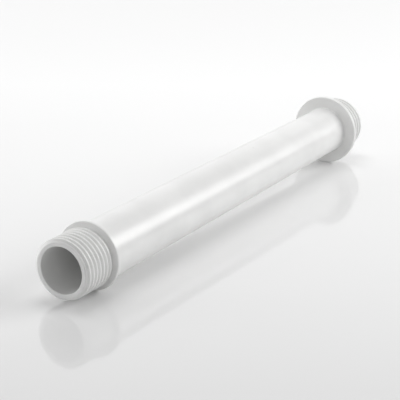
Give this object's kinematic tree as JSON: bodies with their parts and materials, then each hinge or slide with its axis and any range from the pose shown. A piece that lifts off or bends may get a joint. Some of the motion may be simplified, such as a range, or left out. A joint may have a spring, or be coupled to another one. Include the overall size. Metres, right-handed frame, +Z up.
{
  "type": "shower arm",
  "caption": "Straight white plastic shower arm: a tapered tube with a wall flange and collar, and a half inch male pipe thread at each end.",
  "frame": {"origin": "centre of the wall flange's flat back face, on the tube's axis", "axes": "+X along the tube out of the wall towards the outlet, +Z up"},
  "size_m": [0.1881, 0.0264, 0.0264],
  "materials": {
    "white_plastic": "glossy injection moulded white"
  },
  "bodies": {
    "root": {"shower_arm": "white_plastic"}
  },
  "joints": []
}
